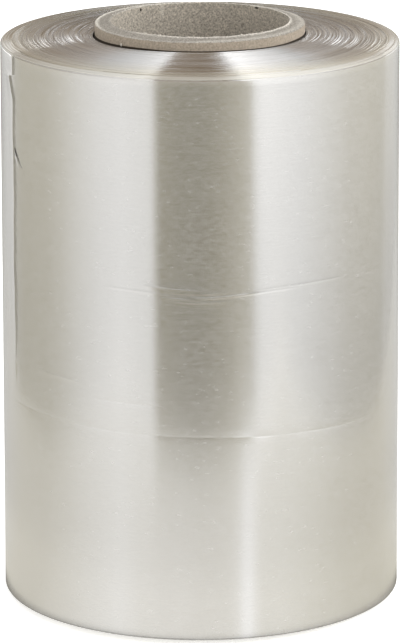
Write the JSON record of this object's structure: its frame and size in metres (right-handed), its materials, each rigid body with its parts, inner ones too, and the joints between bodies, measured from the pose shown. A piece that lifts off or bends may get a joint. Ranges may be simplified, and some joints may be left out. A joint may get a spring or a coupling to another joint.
{
  "type": "sealing film roll",
  "caption": "Full roll of clear sealing film wound on a cardboard core that stands out at both ends, standing upright.",
  "frame": {"origin": "centre of the core's lower end, on the surface that the roll stands on", "axes": "+Z along the roll's axis, towards its upper end; +X to the right and -Y towards a viewer who sees the film's free end at the left"},
  "size_m": [0.171, 0.1708, 0.251],
  "materials": {
    "film": "gloss",
    "core": "matte"
  },
  "bodies": {
    "root": {"film_roll": "film", "core_tube": "core"}
  },
  "joints": []
}
